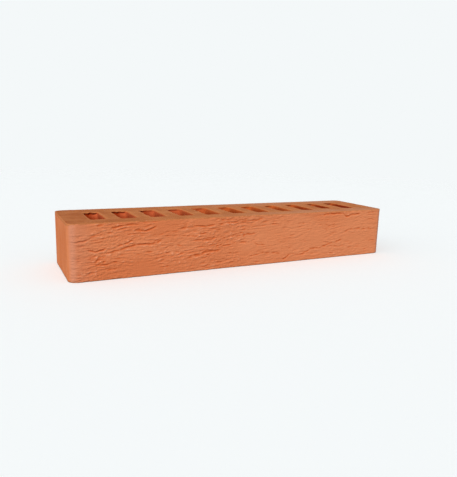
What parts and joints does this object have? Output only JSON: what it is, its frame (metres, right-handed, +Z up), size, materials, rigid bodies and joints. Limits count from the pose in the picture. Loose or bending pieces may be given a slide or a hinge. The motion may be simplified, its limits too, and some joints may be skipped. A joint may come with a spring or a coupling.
{
  "type": "clay brick",
  "caption": "Long-format fired-clay facing brick with a row of slots through its bed faces, rounded upright edges and one bark-textured stretcher face.",
  "frame": {"origin": "centre of the lower bed face, which the brick lies on", "axes": "+X along the brick's length, -Y out of the bark-textured stretcher face, +Z up out of the upper bed face, along the slots"},
  "size_m": [0.36, 0.085, 0.053],
  "materials": {
    "fired_clay": "matte"
  },
  "bodies": {
    "root": {"clay_brick": "fired_clay"}
  },
  "joints": []
}
